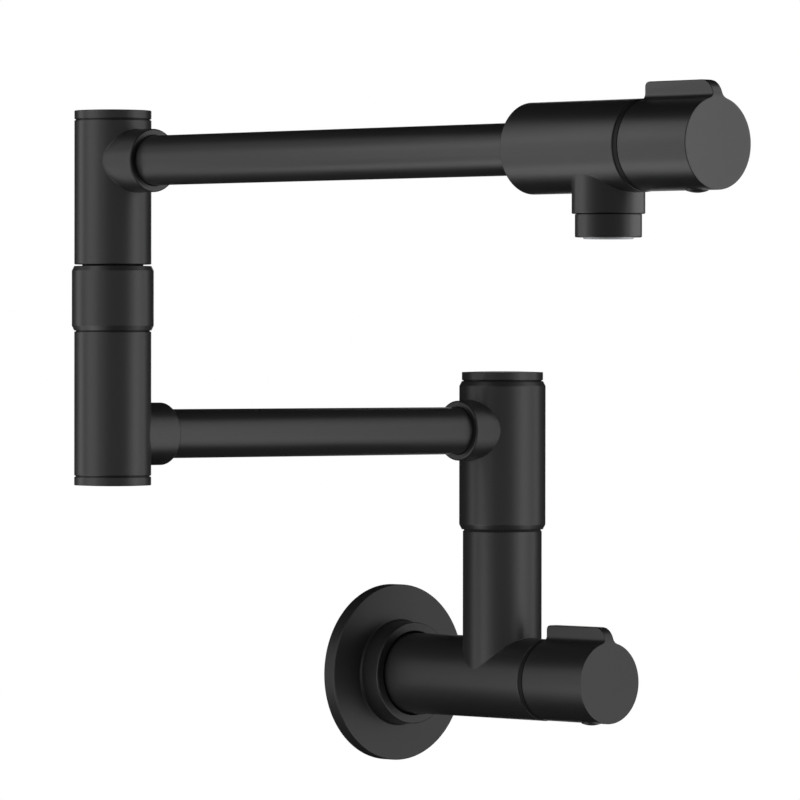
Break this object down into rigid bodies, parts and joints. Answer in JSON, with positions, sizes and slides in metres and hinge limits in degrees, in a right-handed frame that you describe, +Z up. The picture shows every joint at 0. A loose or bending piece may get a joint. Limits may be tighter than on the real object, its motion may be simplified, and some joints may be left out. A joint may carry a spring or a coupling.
{
  "type": "wall mounted pot filler",
  "caption": "Wall mounted pot filler tap with two swinging tube arms, a wall valve and a spout valve with lever fin knobs, in matte black.",
  "frame": {"origin": "the inlet axis where it meets the wall, in the plane of the wall flange's back face", "axes": "+Z up, -Y out of the wall, +X to the right as seen by someone who faces the wall; at rest the lower arm runs to -X and the upper arm to -Y"},
  "size_m": [0.2589, 0.3957, 0.2637],
  "materials": {
    "black_finish": "matte black coating on brass",
    "brass": "turned brass",
    "steel": "stainless",
    "rubber": "moulded seal",
    "ceramic": "lapped ceramic",
    "washer_plastic": "low friction plastic",
    "aerator_plastic": "moulded grey plastic",
    "trim_plastic": "moulded dark grey plastic"
  },
  "bodies": {
    "wall_body": {"wall_flange": "black_finish", "flange_gasket": "rubber", "flange_seal": "rubber", "wall_adapter": "brass", "adapter_seals": "rubber", "body_set_screw": "steel", "body_plug": "black_finish", "inlet_body": "black_finish", "inlet_seat_seal": "rubber", "inlet_fixed_disc": "ceramic", "inlet_cartridge": "brass", "inlet_cartridge_seal": "rubber", "inlet_bonnet": "black_finish", "inlet_trim_ring": "trim_plastic", "riser_spigot": "brass", "riser_seals": "rubber", "riser_washers": "washer_plastic", "riser_gap_ring": "rubber", "riser_clip": "steel"},
    "inlet_valve_handle": {"inlet_handle": "black_finish", "inlet_stem": "brass", "inlet_turning_disc": "ceramic", "inlet_stem_seal": "rubber", "inlet_handle_screw": "steel", "inlet_handle_plug": "black_finish"},
    "lower_arm": {"riser_sleeve": "black_finish", "riser_cap": "black_finish", "riser_cap_seal": "rubber", "lower_arm_tube": "black_finish", "post_lower_housing": "black_finish", "post_bottom_cap": "black_finish", "post_bottom_seal": "rubber", "swivel_collar": "black_finish", "post_spigot": "brass", "post_seals": "rubber", "post_washers": "washer_plastic", "post_gap_ring": "rubber", "post_clip": "steel"},
    "upper_arm": {"post_upper_housing": "black_finish", "post_top_cap": "black_finish", "post_top_seal": "rubber", "upper_arm_tube": "black_finish", "spout_body": "black_finish", "spout_seat_seal": "rubber", "spout_fixed_disc": "ceramic", "spout_cartridge": "brass", "spout_cartridge_seal": "rubber", "spout_bonnet": "black_finish", "spout_trim_ring": "trim_plastic", "aerator_gasket": "rubber", "aerator_housing": "black_finish", "aerator_insert": "aerator_plastic"},
    "spout_valve_handle": {"spout_handle": "black_finish", "spout_stem": "brass", "spout_turning_disc": "ceramic", "spout_stem_seal": "rubber", "spout_handle_screw": "steel", "spout_handle_plug": "black_finish"}
  },
  "joints": [
    {"name": "riser_swivel", "type": "hinge", "parent": "wall_body", "child": "lower_arm", "pos_m": [0, -0.068, 0.1004], "axis": [0, 0, 1], "range_deg": [-10, 190]},
    {"name": "post_swivel", "type": "hinge", "parent": "lower_arm", "child": "upper_arm", "pos_m": [-0.2062, -0.068, 0.2052], "axis": [0, 0, 1], "continuous": true},
    {"name": "inlet_valve_turn", "type": "hinge", "parent": "wall_body", "child": "inlet_valve_handle", "pos_m": [0, -0.0965, 0], "axis": [0, -1, 0], "range_deg": [0, 90]},
    {"name": "spout_valve_turn", "type": "hinge", "parent": "upper_arm", "child": "spout_valve_handle", "pos_m": [-0.2062, -0.3614, 0.2052], "axis": [0, -1, 0], "range_deg": [0, 90]}
  ]
}
